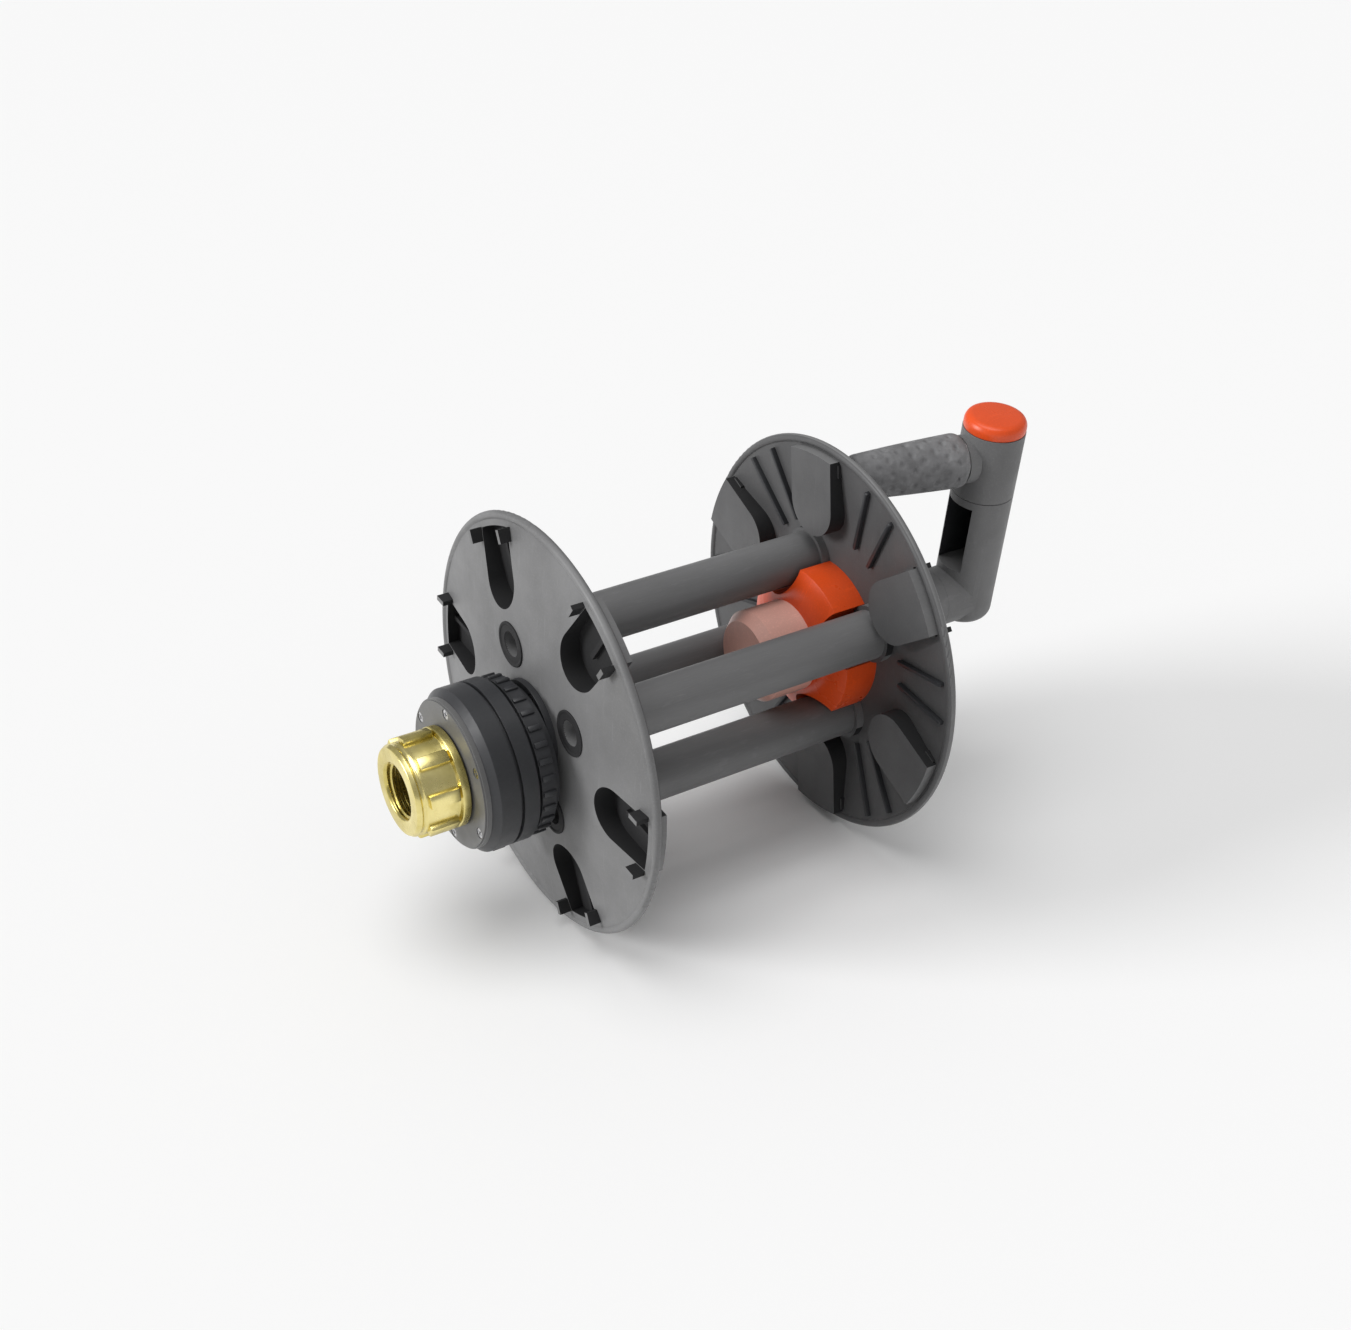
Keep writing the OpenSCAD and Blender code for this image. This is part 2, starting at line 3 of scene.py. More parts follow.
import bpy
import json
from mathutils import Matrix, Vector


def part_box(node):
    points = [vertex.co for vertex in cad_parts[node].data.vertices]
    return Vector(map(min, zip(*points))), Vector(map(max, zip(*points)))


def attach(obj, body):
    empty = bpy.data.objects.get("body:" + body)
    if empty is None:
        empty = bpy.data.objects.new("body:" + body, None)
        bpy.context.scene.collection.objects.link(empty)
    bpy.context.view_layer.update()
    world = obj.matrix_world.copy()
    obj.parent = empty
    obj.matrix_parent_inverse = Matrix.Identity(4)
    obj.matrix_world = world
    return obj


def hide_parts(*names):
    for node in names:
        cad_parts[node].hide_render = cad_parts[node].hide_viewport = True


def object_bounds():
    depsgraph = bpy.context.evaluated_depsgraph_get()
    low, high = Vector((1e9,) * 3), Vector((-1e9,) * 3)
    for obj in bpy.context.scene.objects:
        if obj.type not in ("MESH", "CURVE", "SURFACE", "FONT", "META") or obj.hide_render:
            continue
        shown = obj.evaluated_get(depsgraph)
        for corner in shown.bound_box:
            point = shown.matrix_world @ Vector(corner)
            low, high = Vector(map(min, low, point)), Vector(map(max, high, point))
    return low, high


bl_info = {
    "name": "Hose reel drum",
    "version": (1, 0, 0),
    "blender": (4, 5, 0),
    "location": "View3D > Sidebar > Hose reel",
    "description": "Builds the finished pieces of a garden hose-reel drum",
    "category": "Object",
}

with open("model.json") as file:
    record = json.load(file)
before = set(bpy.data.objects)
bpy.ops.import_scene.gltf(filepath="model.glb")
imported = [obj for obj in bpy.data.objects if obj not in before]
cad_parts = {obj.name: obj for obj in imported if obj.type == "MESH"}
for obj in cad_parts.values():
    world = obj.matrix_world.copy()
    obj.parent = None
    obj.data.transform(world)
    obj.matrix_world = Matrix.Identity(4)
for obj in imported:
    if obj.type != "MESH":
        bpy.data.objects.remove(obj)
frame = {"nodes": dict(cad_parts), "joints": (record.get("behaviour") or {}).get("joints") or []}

import json
import math

import bmesh
import bpy
from bpy.props import FloatProperty, FloatVectorProperty, IntProperty, PointerProperty
from mathutils import Matrix, Vector

CAD_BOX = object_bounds()
MM = 0.001
JOINTS = {joint["name"]: joint for joint in frame["joints"]}


# ---- Sizes and colours ---------------------------------------------------

def length(name, description, default):
    """A size property in metres."""
    return FloatProperty(name=name, description=description, default=default, min=0.0, unit="LENGTH")


def colour(name, description, default):
    """A colour property in linear red, green and blue."""
    return FloatVectorProperty(
        name=name, description=description, default=default, size=3, min=0.0, max=1.0, subtype="COLOR"
    )


class ReelSizes(bpy.types.PropertyGroup):
    """Sizes of the detail that the finished pieces add"""

    moulded_edge: length("Moulded edge", "Rounding of the moulded plastic edges", 0.7 * MM)
    machined_edge: length("Machined edge", "Rounding of the turned brass edges", 0.5 * MM)
    rib_height: length("Flange rib height", "Height of the ribs between the pockets", 4.0 * MM)
    rib_thickness: length("Flange rib thickness", "Thickness of the ribs between the pockets", 2.6 * MM)
    grip_dimple: length("Grip dimple depth", "Depth of the dimples of the grip", 1.1 * MM)
    grip_dimple_pitch: length("Grip dimple pitch", "Distance between rows of dimples", 7.5 * MM)
    thread_pitch: length("Thread pitch", "Pitch of the union's inner thread", 2.31 * MM)
    cup_radius: length("Tube cup radius", "Radius of the cups at the ends of the tubes", 13.5 * MM)
    collar_ribs: IntProperty(
        name="Collar ribs", description="Ribs round the hub's rear band", default=30, min=6, max=60
    )


class ReelColours(bpy.types.PropertyGroup):
    """Colours of the reel's materials"""

    flange: colour("Flange", "Grey of the flanges and the crank", (0.165, 0.165, 0.167))
    # Inner: a darker grey that paints shade onto the flanges' inner faces.
    inner: colour("Inner face", "Darker grey of the flanges' inner faces", (0.088, 0.088, 0.090))
    tube: colour("Tube", "Grey of the spool tubes", (0.155, 0.155, 0.157))
    # Hub: the inlet hub's own dark grey, also used as painted shade on the flange ribs and in the crank
    # post's channel.
    hub: colour("Hub", "Dark grey of the inlet hub", (0.030, 0.031, 0.034))
    ring: colour("Ring", "Mid grey of the retaining ring", (0.12, 0.12, 0.12))
    orange: colour("Orange", "Orange of the drive hub and the end cap", (0.76, 0.080, 0.012))
    pale: colour("Bush", "Pale nylon of the bushes", (0.66, 0.36, 0.30))
    grip: colour("Grip", "Grey of the soft grip", (0.20, 0.20, 0.205))
    brass: colour("Brass", "Yellow brass of the union", (0.93, 0.81, 0.36))
    # Black: the small inner mouldings' own colour, and also painted shade in the flange pockets and on their
    # side walls.
    black: colour("Black", "Black of the small inner mouldings", (0.012, 0.012, 0.013))
    steel: colour("Steel", "Zinc plated steel of the screws and pins", (0.62, 0.62, 0.63))
    floor: colour("Floor", "Pale floor", (0.93, 0.93, 0.93))


# ---- Places --------------------------------------------------------------

def joint_place(name, turn_round=False):
    """Matrix whose origin and z axis are a joint's."""
    joint = JOINTS[name]
    direction = Vector(joint["axis"])
    if turn_round:
        direction.negate()
    return Matrix.Translation(joint["pos_m"]) @ direction.to_track_quat("Z", "Y").to_matrix().to_4x4()


def reel_place(x, drop=0.0):
    """Matrix on the drum's axis at x: z to the inlet, y up, x to the front."""
    turn = Matrix(((0, 0, -1, 0), (-1, 0, 0, 0), (0, 1, 0, 0), (0, 0, 0, 1)))
    return Matrix.Translation((x, 0, -drop)) @ turn


def span(node, place):
    """Lowest and highest z and largest radius of a CAD node in a place's frame."""
    back = place.inverted()
    points = [back @ v.co for v in frame["nodes"][node].data.vertices]
    heights = [p.z for p in points]
    return min(heights), max(heights), max(p.xy.length for p in points)


POST = joint_place("grip_swing", turn_round=True)
GRIP = joint_place("grip_spin")
HUB_DROP = -JOINTS["union_spin"]["pos_m"][2]


# ---- Shapes --------------------------------------------------------------

def rounded(outline, radius):
    """Rounds the corners of a closed outline, apart from those on the axis."""
    points = [Vector(p) for p in outline]
    curve = []
    for i, corner in enumerate(points):
        if corner.x < 1e-9:
            curve.append(corner)
            continue
        before = points[i - 1] - corner
        after = points[(i + 1) % len(points)] - corner
        a = corner + before.normalized() * min(radius, before.length * 0.45)
        b = corner + after.normalized() * min(radius, after.length * 0.45)
        for t in (0, 0.25, 0.5, 0.75, 1):
            curve.append(a * (1 - t) ** 2 + corner * 2 * t * (1 - t) + b * t * t)
    return curve


def turn_outline(bm, outline, place, steps=128):
    """Spins a closed outline of (radius, height) points about a place's z axis."""
    verts = [bm.verts.new((p[0], 0, p[1])) for p in outline]
    edges = [bm.edges.new((v, verts[(i + 1) % len(verts)])) for i, v in enumerate(verts)]
    before = set(bm.verts) - set(verts)
    bmesh.ops.spin(
        bm, geom=verts + edges, cent=(0, 0, 0), axis=(0, 0, 1),
        angle=math.tau, steps=steps, use_merge=True,
    )
    made = [v for v in bm.verts if v not in before]
    bmesh.ops.transform(bm, matrix=place, verts=made)
    bmesh.ops.remove_doubles(bm, verts=made, dist=1e-7)


def add_block(bm, size, place, edge):
    """Adds a block with rounded edges, centred on a place."""
    made = bmesh.ops.create_cube(bm, size=1.0)["verts"]
    bmesh.ops.scale(bm, vec=size, verts=made)
    if edge > 0:
        edges = list({e for v in made for e in v.link_edges})
        bevelled = bmesh.ops.bevel(
            bm, geom=edges, offset=edge, offset_type="OFFSET", affect="EDGES",
            segments=2, profile=0.5, material=-1, clamp_overlap=True,
        )
        made = bevelled["verts"]
    bmesh.ops.transform(bm, matrix=place, verts=list(set(made)))


def piece_from(bm, name, material, body, stands_for=(), sharp_angle=32):
    """Makes a finished piece of a bmesh and puts it on its body."""
    bmesh.ops.recalc_face_normals(bm, faces=bm.faces)
    for face in bm.faces:
        face.smooth = True
    for edge in bm.edges:
        edge.smooth = len(edge.link_faces) != 2 or edge.calc_face_angle(0) < math.radians(sharp_angle)
    mesh = bpy.data.meshes.new(name)
    bm.to_mesh(mesh)
    bm.free()
    mesh.materials.append(material)
    piece = bpy.data.objects.new(name, mesh)
    bpy.context.scene.collection.objects.link(piece)
    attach(piece, body)
    if stands_for:
        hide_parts(*stands_for)
    return piece


def softened(node, edge, material, body, segments=2, painted_shade_of=None, painted_shades=()):
    """A copy of a CAD node with rounded edges; an optional face test gives each face's material index, 0
    being the outside's own material and higher ones the extra materials that paint shade onto chosen faces.
    """
    bm = bmesh.new()
    bm.from_mesh(frame["nodes"][node].data)
    bmesh.ops.remove_doubles(bm, verts=bm.verts, dist=0.002 * MM)
    bmesh.ops.dissolve_limit(bm, angle_limit=math.radians(1), verts=bm.verts, edges=bm.edges)
    sharp = [
        e for e in bm.edges
        if len(e.link_faces) == 2 and e.calc_face_angle(0) > math.radians(32)
    ]
    bmesh.ops.bevel(
        bm, geom=sharp, offset=edge, offset_type="OFFSET", affect="EDGES",
        segments=segments, profile=0.5, material=-1, clamp_overlap=True,
    )
    bm.normal_update()
    for face in bm.faces:
        if painted_shade_of:
            face.material_index = painted_shade_of(face.calc_center_median(), face.normal)
    piece = piece_from(bm, node + "_finished", material, body, [node])
    for inside in painted_shades:
        piece.data.materials.append(inside)
    piece.modifiers.new("Even shading", "WEIGHTED_NORMAL").keep_sharp = True
    return piece


def dress(material, *nodes):
    """Gives CAD nodes that stay as they are a finished material."""
    for node in nodes:
        mesh = frame["nodes"][node].data
        mesh.materials.clear()
        mesh.materials.append(material)


# ---- Materials -----------------------------------------------------------

class Surface:
    """Builds one node material whose pattern reads object coordinates."""

    def __init__(self, name):
        self.material = bpy.data.materials.new(name)
        self.material.use_nodes = True
        self.nodes = self.material.node_tree.nodes
        self.links = self.material.node_tree.links
        self.shader = self.nodes["Principled BSDF"]
        self.coordinates = self.nodes.new("ShaderNodeTexCoord").outputs["Object"]

    def stretched(self, scale):
        """Object coordinates scaled along each axis."""
        mapping = self.nodes.new("ShaderNodeMapping")
        mapping.inputs["Scale"].default_value = scale
        self.links.new(self.coordinates, mapping.inputs["Vector"])
        return mapping.outputs["Vector"]

    def noise(self, scale, detail=4.0, roughness=0.55, vector=None):
        """A noise pattern, from 0 to 1."""
        node = self.nodes.new("ShaderNodeTexNoise")
        node.inputs["Scale"].default_value = scale
        node.inputs["Detail"].default_value = detail
        node.inputs["Roughness"].default_value = roughness
        self.links.new(vector or self.coordinates, node.inputs["Vector"])
        return node.outputs["Fac"]

    def between(self, value, low, high, start=0.35, stop=0.65):
        """Maps a pattern to the range from low to high."""
        node = self.nodes.new("ShaderNodeMapRange")
        node.inputs["From Min"].default_value = start
        node.inputs["From Max"].default_value = stop
        node.inputs["To Min"].default_value = low
        node.inputs["To Max"].default_value = high
        self.links.new(value, node.inputs["Value"])
        return node.outputs["Result"]

    def blend(self, factor, first, second):
        """Mixes two colours, or a colour socket and a colour, by a pattern."""
        node = self.nodes.new("ShaderNodeMix")
        node.data_type = "RGBA"
        self.links.new(factor, node.inputs["Factor"])
        colour_inputs = [s for s in node.inputs if s.type == "RGBA"]
        for socket, value in zip(colour_inputs, (first, second)):
            if isinstance(value, bpy.types.NodeSocket):
                self.links.new(value, socket)
            else:
                socket.default_value = (*value, 1.0)
        return next(s for s in node.outputs if s.type == "RGBA")

    def bump(self, height, strength, distance, normal=None):
        """Turns a pattern into a bump, on top of another one if given."""
        node = self.nodes.new("ShaderNodeBump")
        node.inputs["Strength"].default_value = strength
        node.inputs["Distance"].default_value = distance
        self.links.new(height, node.inputs["Height"])
        if normal is not None:
            self.links.new(normal, node.inputs["Normal"])
        return node.outputs["Normal"]

    def connect(self, socket, output):
        """Feeds a pattern into the shader."""
        self.links.new(output, self.shader.inputs[socket])


def shade(colour_value, factor):
    """A colour made lighter or darker, kept within 0 and 1."""
    return tuple(min(1.0, c * factor) for c in colour_value)


def moulded(name, base, roughness=(0.42, 0.58), grain=0.18, spread=0.14, stretch=None):
    """Moulded plastic: cloudy tone, fine spark grain and faint handling marks."""
    found = bpy.data.materials.get(name)
    if found:
        return found
    s = Surface(name)
    field = s.stretched(stretch) if stretch else s.coordinates
    clouds = s.between(s.noise(14, 5, 0.6, field), 0, 1)
    tone = s.blend(clouds, shade(base, 1 - spread), shade(base, 1 + spread))
    specks = s.between(s.noise(900, 2, 0.5, field), 0, 0.35, 0.52, 0.75)
    tone = s.blend(specks, tone, shade(base, 1.35))
    marks = s.between(s.noise(60, 3, 0.7, s.stretched((1, 6, 0.6))), 0, 0.30, 0.60, 0.72)
    tone = s.blend(marks, tone, shade(base, 1.5))
    s.connect("Base Color", tone)
    s.connect("Roughness", s.between(s.noise(35, 4, 0.6), *roughness))
    fine = s.bump(s.noise(1600, 2, 0.5, field), grain, 0.12 * MM)
    s.connect("Normal", s.bump(s.noise(9, 2, 0.5), 0.10, 0.8 * MM, fine))
    s.shader.inputs["IOR"].default_value = 1.46
    return s.material


def rubbery(name, base):
    """Soft grip material: matt, with a pebbled skin."""
    found = bpy.data.materials.get(name)
    if found:
        return found
    s = Surface(name)
    clouds = s.between(s.noise(40, 5, 0.65), 0, 1)
    tone = s.blend(clouds, shade(base, 0.72), shade(base, 1.2))
    blotches = s.between(s.noise(150, 3, 0.6), 0, 0.45, 0.50, 0.62)
    s.connect("Base Color", s.blend(blotches, tone, shade(base, 0.55)))
    s.connect("Roughness", s.between(s.noise(90, 3), 0.62, 0.82))
    s.connect("Normal", s.bump(s.noise(700, 3, 0.6), 0.45, 0.25 * MM))
    s.shader.inputs["IOR"].default_value = 1.45
    return s.material


def metal(name, base, tarnish, roughness, brush, patch=25):
    """Turned or plated metal with tool lines and patches of tarnish."""
    found = bpy.data.materials.get(name)
    if found:
        return found
    s = Surface(name)
    patches = s.between(s.noise(patch, 5, 0.65), 0, 0.8)
    s.connect("Base Color", s.blend(patches, base, tarnish))
    s.connect("Roughness", s.between(s.noise(80, 4, 0.6), *roughness))
    lines = s.noise(40, 3, 0.6, s.stretched(brush))
    s.connect("Normal", s.bump(lines, 0.12, 0.06 * MM))
    s.shader.inputs["Metallic"].default_value = 1.0
    return s.material


def finishes(context):
    """Every material of the reel, by its short name."""
    c = context.scene.reel_colours
    return {
        "flange": moulded("Flange plastic", c.flange),
        "tube": moulded("Tube plastic", c.tube, (0.38, 0.52), 0.10, 0.10, (0.15, 3, 3)),
        # The hub material also paints shade onto the flange ribs and into the crank post's channel.
        "hub": moulded("Hub plastic and painted shade", c.hub, (0.34, 0.50), 0.16, 0.18),
        "ring": moulded("Ring plastic", c.ring, (0.35, 0.5), 0.10, 0.06),
        "orange": moulded("Orange plastic", c.orange, (0.26, 0.38), 0.08, 0.05),
        "pale": moulded("Pale nylon", c.pale, (0.30, 0.42), 0.06, 0.04),
        # The black material also paints shade into the flange pockets and onto their side walls.
        "black": moulded("Black plastic and pocket shade", c.black, (0.66, 0.80), 0.14, 0.2),
        # The inner material paints shade onto the flanges' inner faces.
        "inner": moulded("Inner flange painted shade", c.inner),
        "grip": rubbery("Grip plastic", c.grip),
        "rubber": rubbery("Seal rubber", (0.02, 0.02, 0.02)),
        "brass": metal("Brass", c.brass, (0.52, 0.42, 0.09), (0.20, 0.36), (26, 1, 1)),
        "steel": metal("Zinc plated steel", c.steel, shade(c.steel, 0.8), (0.24, 0.40), (3, 3, 20), 120),
    }


# ---- Pieces --------------------------------------------------------------

class REEL_OT_flanges(bpy.types.Operator):
    """Makes both flanges with rounded edges and the ribs of their inner faces"""

    bl_idname = "reel.flanges"
    bl_label = "Flanges"

    def execute(self, context):
        sizes = context.scene.reel_sizes
        looks = finishes(context)
        tube_low, tube_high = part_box("spool_tube_1")
        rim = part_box("crank_flange")[1].z
        for node, face_x, inwards, first_pocket in (
            ("inlet_flange", tube_low.x, 1, -7), ("crank_flange", tube_high.x, -1, 35)
        ):
            self.make_flange(sizes, looks, node, face_x, inwards, rim)
            # The ribs take the dark hub plastic as painted shadow stripes.
            self.add_ribs(sizes, looks["hub"], node, face_x, inwards, first_pocket, rim)
        return {"FINISHED"}

    def make_flange(self, sizes, looks, node, face_x, inwards, rim):
        """One flange; black paints shade into its pockets and onto its side walls, and a darker grey paints
        shade onto its inner face.
        """
        rim_x = face_x + inwards * 2 * MM

        # Material index per face: 1 paints shade black into pockets and onto side walls, 2 paints shade onto
        # the inner face, 0 keeps the flange grey.
        def painted_shade_of(centre, normal):
            radius = centre.yz.length
            crown = 5 * MM * (0.96 - radius / rim) / 0.4
            depth = (centre.x - rim_x) * inwards + crown
            in_pocket = abs(normal.x) < 0.6 or (depth > 4 * MM and normal.x * inwards < 0)
            if 0.5 * rim < radius < 0.95 * rim and in_pocket:
                return 1
            return 2 if normal.x * inwards > 0.6 else 0

        softened(
            node, sizes.moulded_edge, looks["flange"], "drum",
            painted_shade_of=painted_shade_of, painted_shades=(looks["black"], looks["inner"]),
        )

    def add_ribs(self, sizes, material, node, face_x, inwards, first_pocket, rim):
        """Radial ribs on a flange's inner face, two between each pair of pockets, in a dark material that
        paints shadow stripes.
        """
        middle = 0.757 * rim
        slope = math.atan2(6.1, 53)
        face = face_x + inwards * (middle - 0.556 * rim) * math.tan(slope)
        centre = face + inwards * (sizes.rib_height / 2 - 0.8 * MM)
        bm = bmesh.new()
        for k in range(6):
            for side in (-6, 6):
                place = (
                    reel_place(centre)
                    @ Matrix.Rotation(math.radians(first_pocket + 30 + 60 * k + side), 4, "Z")
                    @ Matrix.Translation((middle, 0, 0))
                    @ Matrix.Rotation(inwards * slope, 4, "Y")
                )
                add_block(bm, (0.37 * rim, sizes.rib_thickness, sizes.rib_height), place, 0.6 * MM)
        piece_from(bm, node + "_ribs", material, "drum")


class REEL_OT_spool(bpy.types.Operator):
    """Finishes the four spool tubes and the pieces at their ends"""

    bl_idname = "reel.spool"
    bl_label = "Spool tubes"

    def execute(self, context):
        looks = finishes(context)
        for k in range(1, 5):
            softened(f"spool_tube_{k}", 0.5 * MM, looks["tube"], "drum")
        self.add_cups(context, looks["black"])
        dress(looks["black"], "tube_plugs", "hose_outlet")
        dress(looks["steel"], "tube_screws")
        dress(looks["tube"], "water_tube")
        return {"FINISHED"}

    def add_cups(self, context, material):
        """Shallow cups round the screws at the inlet ends of the tubes."""
        cup = context.scene.reel_sizes.cup_radius
        hole = 7.5 * MM
        outline = [
            (hole, -1 * MM), (cup, -1 * MM), (cup, 0.9 * MM), (cup - 1.2 * MM, 0.9 * MM),
            (cup - 2.0 * MM, 0.3 * MM), (hole, 0.3 * MM),
        ]
        bm = bmesh.new()
        for k in range(1, 5):
            low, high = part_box(f"spool_tube_{k}")
            middle = (low + high) / 2
            place = Matrix.Translation((0, middle.y, middle.z)) @ reel_place(low.x - 3 * MM)
            turn_outline(bm, rounded(outline, 0.3 * MM), place, 64)
        piece_from(bm, "tube_cups", material, "drum", sharp_angle=45)


class REEL_OT_inlet_hub(bpy.types.Operator):
    """Finishes the inlet hub: housing, collar ribs, ring and seals"""

    bl_idname = "reel.inlet_hub"
    bl_label = "Inlet hub"

    def execute(self, context):
        sizes = context.scene.reel_sizes
        looks = finishes(context)
        softened("hub_housing", 0.8 * MM, looks["hub"], "inlet_hub")
        softened("retaining_ring", 0.5 * MM, looks["ring"], "inlet_hub")
        softened("water_spigot", 0.5 * MM, looks["hub"], "drum")
        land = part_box("hub_housing")[1].z + HUB_DROP
        back_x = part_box("hub_housing")[1].x
        bm = bmesh.new()
        for k in range(sizes.collar_ribs):
            place = (
                reel_place(back_x - 9.5 * MM, HUB_DROP)
                @ Matrix.Rotation(math.tau * k / sizes.collar_ribs, 4, "Z")
                @ Matrix.Translation((land - 2 * MM, 0, 0))
            )
            add_block(bm, (2.8 * MM, 3.2 * MM, 8 * MM), place, 0.6 * MM)
        piece_from(bm, "collar_ribs", looks["hub"], "inlet_hub")
        dress(looks["pale"], "bearing_bush")
        dress(looks["rubber"], "hub_gasket", "nipple_washer", "spigot_o_rings")
        dress(looks["steel"], "ring_screws", "spigot_screws", "spigot_circlip")
        dress(looks["brass"], "inlet_nipple")
        return {"FINISHED"}


class REEL_OT_union(bpy.types.Operator):
    """Makes the brass union nut with its lugs and inner thread"""

    bl_idname = "reel.union"
    bl_label = "Brass union"

    def execute(self, context):
        sizes = context.scene.reel_sizes
        low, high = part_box("union_nut")
        place = reel_place(high.x, HUB_DROP)
        tall = high.x - low.x
        widest = (high.z - low.z) / 2
        body = widest - 3.5 * MM
        crest = 15.15 * MM
        root = crest + 1.2 * MM
        bore = 12.86 * MM
        wall = 10 * MM
        outline = [
            (bore, 0), (widest - 1 * MM, 0), (widest - 1 * MM, 4.6 * MM), (body, 5.8 * MM),
            (body, tall - 6 * MM), (body - 1.2 * MM, tall - 5 * MM), (body - 1.2 * MM, tall - 3.6 * MM),
            (body, tall - 2.6 * MM), (body - 1.6 * MM, tall), (root + 1 * MM, tall),
            (root, tall - 1.4 * MM), (root, wall), (bore, wall),
        ]
        bm = bmesh.new()
        turn_outline(bm, rounded(outline, sizes.machined_edge), place, 160)
        for k in range(8):
            lug = (
                place
                @ Matrix.Rotation(math.radians(12 + 45 * k), 4, "Z")
                @ Matrix.Translation((widest - 3 * MM, 0, 15 * MM))
            )
            add_block(bm, (5.4 * MM, 8 * MM, 18 * MM), lug, 1.1 * MM)
        self.cut_thread(bm, crest, root, wall + 1 * MM, tall - 3 * MM, sizes.thread_pitch, place)
        brass = finishes(context)["brass"]
        piece_from(bm, "union_nut_finished", brass, "union", ["union_nut"], 40)
        return {"FINISHED"}

    def cut_thread(self, bm, crest, root, start, stop, pitch, place):
        """Winds a ridge inside the bore."""
        steps = 64
        turns = (stop - start) / pitch
        corners = ((root + 0.5 * MM, 0), (crest, 0.42 * pitch), (root + 0.5 * MM, 0.84 * pitch))
        verts = [bm.verts.new((r, 0, start + z)) for r, z in corners]
        edges = [bm.edges.new((v, verts[(i + 1) % 3])) for i, v in enumerate(verts)]
        before = set(bm.verts) - set(verts)
        bmesh.ops.spin(
            bm, geom=verts + edges, cent=(0, 0, 0), axis=(0, 0, 1), dvec=(0, 0, pitch / steps),
            angle=math.tau * turns, steps=int(steps * turns), use_merge=False,
        )
        made = [v for v in bm.verts if v not in before]
        open_edges = [e for e in {e for v in made for e in v.link_edges} if e.is_boundary]
        bmesh.ops.holes_fill(bm, edges=open_edges, sides=0)
        bmesh.ops.transform(bm, matrix=place, verts=made)


class REEL_OT_drive(bpy.types.Operator):
    """Finishes the orange drive hub, its pale bush and the crank shaft"""

    bl_idname = "reel.drive"
    bl_label = "Drive side"

    def execute(self, context):
        sizes = context.scene.reel_sizes
        looks = finishes(context)
        softened("drive_hub", sizes.moulded_edge, looks["orange"], "drum")
        softened("pale_bush", 0.8 * MM, looks["pale"], "drum")
        softened("drive_shaft", sizes.moulded_edge, looks["flange"], "drum")
        dress(looks["steel"], "drive_screws")
        return {"FINISHED"}


class REEL_OT_crank(bpy.types.Operator):
    """Makes the crank post, the swivel head and the orange cap"""

    bl_idname = "reel.crank"
    bl_label = "Crank"

    def execute(self, context):
        looks = finishes(context)
        back = POST.inverted()

        # Faces inside the post's channel take the dark hub plastic: painted shade in the recess.
        def painted_shade_of(centre, normal):
            place = back @ centre
            return int(24 * MM < place.z < 68 * MM and place.xy.length < 16 * MM)

        softened(
            "crank_post", 1.0 * MM, looks["flange"], "drum", 3,
            painted_shade_of=painted_shade_of, painted_shades=(looks["hub"],),
        )
        softened("swivel_head", 0.9 * MM, looks["flange"], "crank_head", 3)
        low, high, radius = span("head_cap", POST)
        base = low + 2.5 * MM
        outline = [
            (0, base), (radius, base), (radius, high - 4.5 * MM),
            (radius - 1.4 * MM, high - 1.6 * MM), (radius - 4 * MM, high - 0.5 * MM), (0, high),
        ]
        bm = bmesh.new()
        turn_outline(bm, rounded(outline, 1.2 * MM), POST)
        piece_from(bm, "head_cap_finished", looks["orange"], "crank_head", ["head_cap"], 50)
        dress(looks["steel"], "crank_bolt", "head_screw", "head_washer", "grip_pin", "grip_washer")
        return {"FINISHED"}


class REEL_OT_grip(bpy.types.Operator):
    """Makes the dimpled grip sleeve and finishes its cap"""

    bl_idname = "reel.grip"
    bl_label = "Grip"

    def execute(self, context):
        sizes = context.scene.reel_sizes
        looks = finishes(context)
        low, high, root = span("grip_sleeve", GRIP)
        tip = 13.5 * MM
        bore = 5.06 * MM
        cap = 9 * MM
        rows = 90
        outer = []
        for k in range(rows + 1):
            t = k / rows
            ends = min(1.0, t / 0.06, (1 - t) / 0.05)
            swell = 0.5 * MM * math.sin(math.pi * t)
            radius = root + (tip - root) * t ** 0.9 + swell - 2 * MM * (1 - math.sqrt(1 - (1 - ends) ** 2))
            outer.append((min(radius, root), low + (high - low) * t))
        outline = outer + [(cap, high), (cap, high - 4 * MM), (bore, high - 4 * MM), (bore, low)]
        bm = bmesh.new()
        turn_outline(bm, outline, Matrix.Identity(4), 144)
        self.press_dimples(bm, sizes, low, high)
        bmesh.ops.transform(bm, matrix=GRIP, verts=bm.verts)
        piece_from(bm, "grip_sleeve_finished", looks["grip"], "grip", ["grip_sleeve"], 45)
        dress(looks["black"], "grip_cap")
        dress(looks["steel"], "grip_screw")
        return {"FINISHED"}

    def press_dimples(self, bm, sizes, low, high):
        """Presses staggered rows of dimples into the sleeve's outside."""
        pitch = sizes.grip_dimple_pitch
        around = 10
        for vert in bm.verts:
            radius = vert.co.xy.length
            if radius < 11 * MM or not low + 7 * MM < vert.co.z < high - 6 * MM:
                continue
            row = (vert.co.z - low) / pitch
            turn = math.atan2(vert.co.y, vert.co.x) / math.tau * around + 0.5 * (round(row) % 2)
            across = (turn - round(turn)) * math.tau * radius / around
            along = (row - round(row)) * pitch
            reach = math.hypot(across / 3.2, along / 2.6) / MM
            if reach < 1:
                depth = sizes.grip_dimple * (1 - reach * reach) ** 2
                vert.co.xy *= (radius - depth) / radius


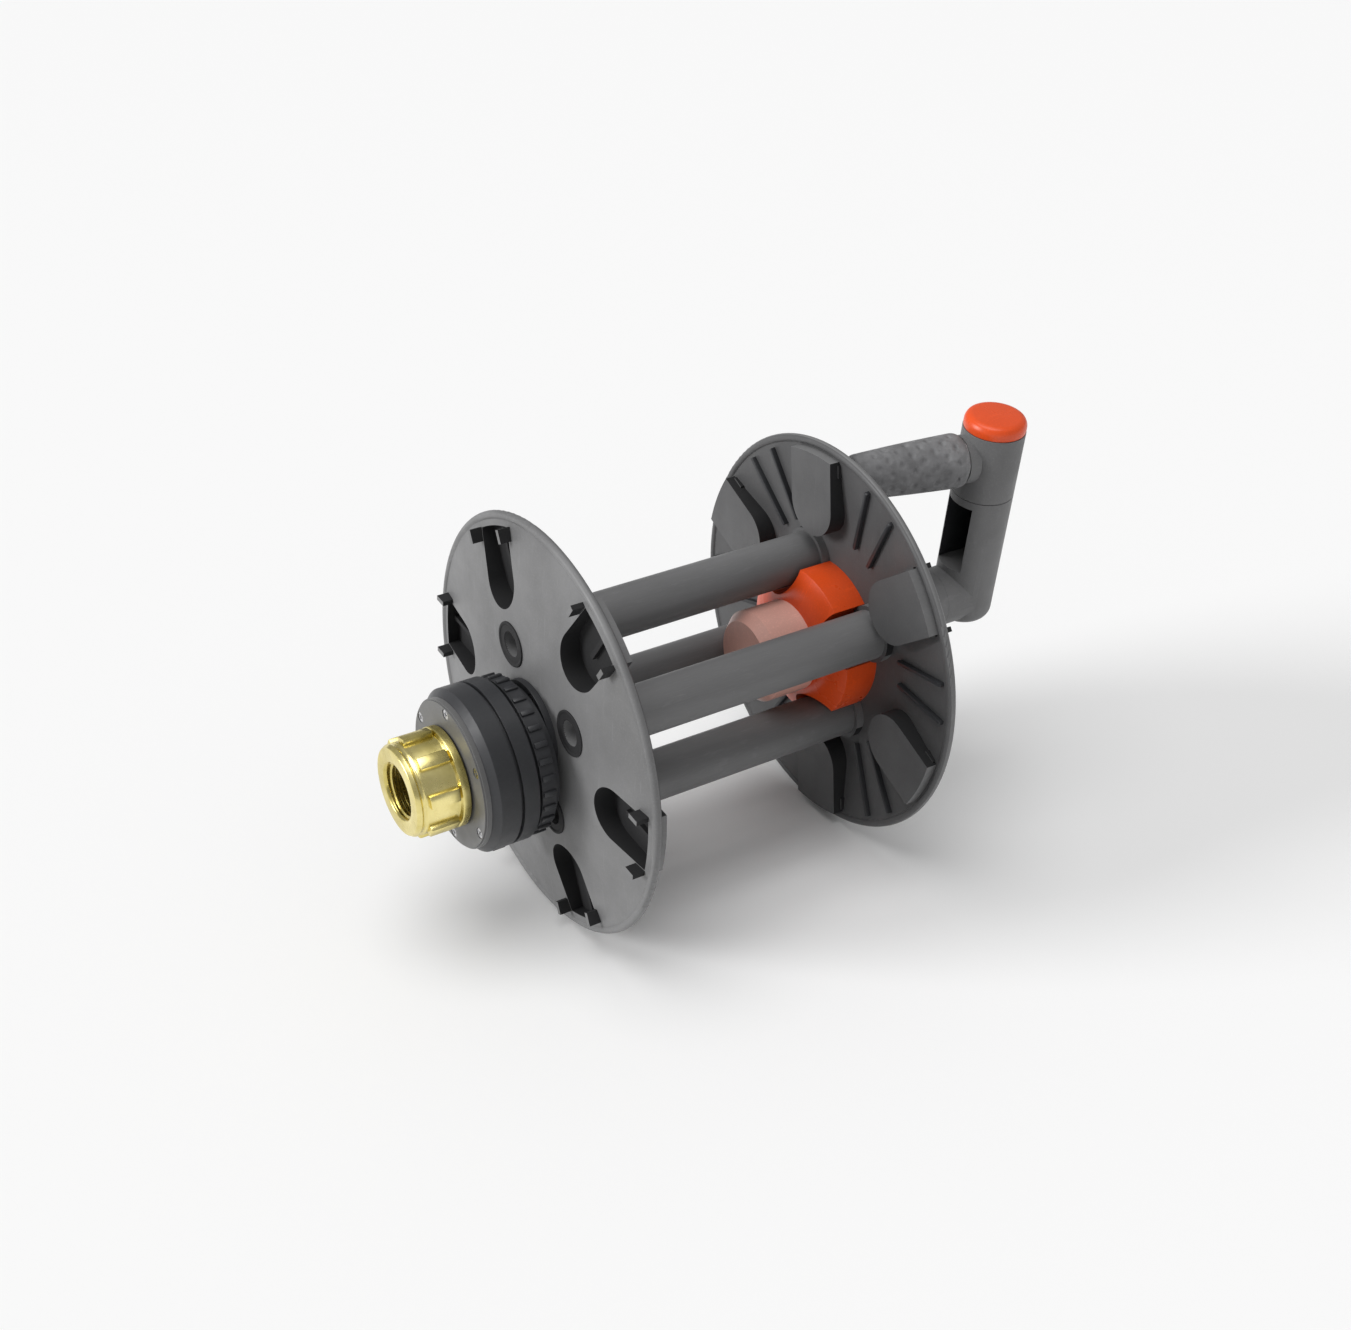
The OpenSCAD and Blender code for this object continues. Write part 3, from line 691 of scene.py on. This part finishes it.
class REEL_OT_stage(bpy.types.Operator):
    """Makes the pale floor, the soft lights, the background and the camera"""

    bl_idname = "reel.stage"
    bl_label = "Stage"

    def execute(self, context):
        self.add_floor(context)
        self.add_light("Key", 1.9, 20, (-0.85, 0.27, 0.34))
        self.add_light("Top", 1.5, 45, (-0.20, -0.05, 1.0))
        self.set_world(context)
        self.add_camera(context)
        context.scene.view_settings.view_transform = "Standard"
        return {"FINISHED"}

    def add_floor(self, context):
        """A wide floor under the reel."""
        bm = bmesh.new()
        bmesh.ops.create_grid(bm, x_segments=1, y_segments=1, size=12)
        bmesh.ops.translate(bm, vec=(0, 0, CAD_BOX[0].z - 0.2 * MM), verts=bm.verts)
        mesh = bpy.data.meshes.new("floor")
        bm.to_mesh(mesh)
        bm.free()
        floor = bpy.data.objects.new("floor", mesh)
        context.scene.collection.objects.link(floor)
        paint = bpy.data.materials.new("Floor")
        paint.use_nodes = True
        shader = paint.node_tree.nodes["Principled BSDF"]
        shader.inputs["Base Color"].default_value = (*context.scene.reel_colours.floor, 1)
        shader.inputs["Roughness"].default_value = 0.9
        shader.inputs["Specular IOR Level"].default_value = 0.1
        mesh.materials.append(paint)

    def add_light(self, name, energy, softness, towards):
        """A soft far light that shines from a direction."""
        lamp = bpy.data.lights.new(name, "SUN")
        lamp.energy = energy
        lamp.angle = math.radians(softness)
        light = bpy.data.objects.new(name, lamp)
        light.rotation_mode = "QUATERNION"
        light.rotation_quaternion = Vector(towards).to_track_quat("Z", "Y")
        bpy.context.scene.collection.objects.link(light)

    def set_world(self, context):
        """Even light all round, and white where the camera looks past the floor."""
        world = bpy.data.worlds.new("Studio")
        context.scene.world = world
        world.use_nodes = True
        nodes = world.node_tree.nodes
        links = world.node_tree.links
        light = nodes["Background"]
        light.inputs["Color"].default_value = (1, 1, 1, 1)
        light.inputs["Strength"].default_value = 0.34
        white = nodes.new("ShaderNodeBackground")
        white.inputs["Color"].default_value = (0.94, 0.94, 0.94, 1)
        path = nodes.new("ShaderNodeLightPath")
        mix = nodes.new("ShaderNodeMixShader")
        links.new(path.outputs["Is Camera Ray"], mix.inputs["Fac"])
        links.new(light.outputs[0], mix.inputs[1])
        links.new(white.outputs[0], mix.inputs[2])
        links.new(mix.outputs[0], nodes["World Output"].inputs["Surface"])

    def add_camera(self, context):
        """A camera that looks down on the reel from the inlet side."""
        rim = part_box("inlet_flange")
        radius = rim[1].z
        azimuth = math.radians(-32.3)
        elevation = math.radians(31.3)
        back = Vector((
            math.sin(azimuth) * math.cos(elevation), -math.cos(azimuth) * math.cos(elevation),
            math.sin(elevation),
        ))
        right = Vector((math.cos(azimuth), math.sin(azimuth), 0))
        up = back.cross(right)
        rim_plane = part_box("spool_tube_1")[0].x + 2 * MM
        target = Vector((rim_plane, 0, 0)) + right * 0.623 * radius + up * 0.181 * radius
        data = bpy.data.cameras.new("Camera")
        data.lens = 50.9
        data.sensor_width = 36
        data.shift_x = -0.0011
        data.shift_y = 0.0155
        camera = bpy.data.objects.new("Camera", data)
        turn = Matrix((right, up, back)).transposed()
        camera.matrix_world = Matrix.Translation(target + back * 8.68 * radius) @ turn.to_4x4()
        context.scene.collection.objects.link(camera)
        context.scene.camera = camera


PIECE_OPERATORS = (
    REEL_OT_flanges, REEL_OT_spool, REEL_OT_inlet_hub, REEL_OT_union,
    REEL_OT_drive, REEL_OT_crank, REEL_OT_grip, REEL_OT_stage,
)


class REEL_PT_panel(bpy.types.Panel):
    """Lists the reel's operators, sizes and colours"""

    bl_label = "Hose reel"
    bl_idname = "REEL_PT_panel"
    bl_space_type = "VIEW_3D"
    bl_region_type = "UI"
    bl_category = "Hose reel"

    def draw(self, context):
        for operator in PIECE_OPERATORS:
            self.layout.operator(operator.bl_idname)
        for group in (context.scene.reel_sizes, context.scene.reel_colours):
            for name in group.__annotations__:
                self.layout.prop(group, name)


CLASSES = (ReelSizes, ReelColours, *PIECE_OPERATORS, REEL_PT_panel)


def register():
    """Registers the classes and puts the settings on the scene."""
    for cls in CLASSES:
        bpy.utils.register_class(cls)
    bpy.types.Scene.reel_sizes = PointerProperty(type=ReelSizes)
    bpy.types.Scene.reel_colours = PointerProperty(type=ReelColours)


def unregister():
    """Takes the settings and the classes away again."""
    del bpy.types.Scene.reel_colours
    del bpy.types.Scene.reel_sizes
    for cls in reversed(CLASSES):
        bpy.utils.unregister_class(cls)


def main():
    """Builds every piece in order."""
    register()
    bpy.ops.reel.flanges()
    bpy.ops.reel.spool()
    bpy.ops.reel.inlet_hub()
    bpy.ops.reel.union()
    bpy.ops.reel.drive()
    bpy.ops.reel.crank()
    bpy.ops.reel.grip()
    bpy.ops.reel.stage()


if __name__ == "__main__":
    main()
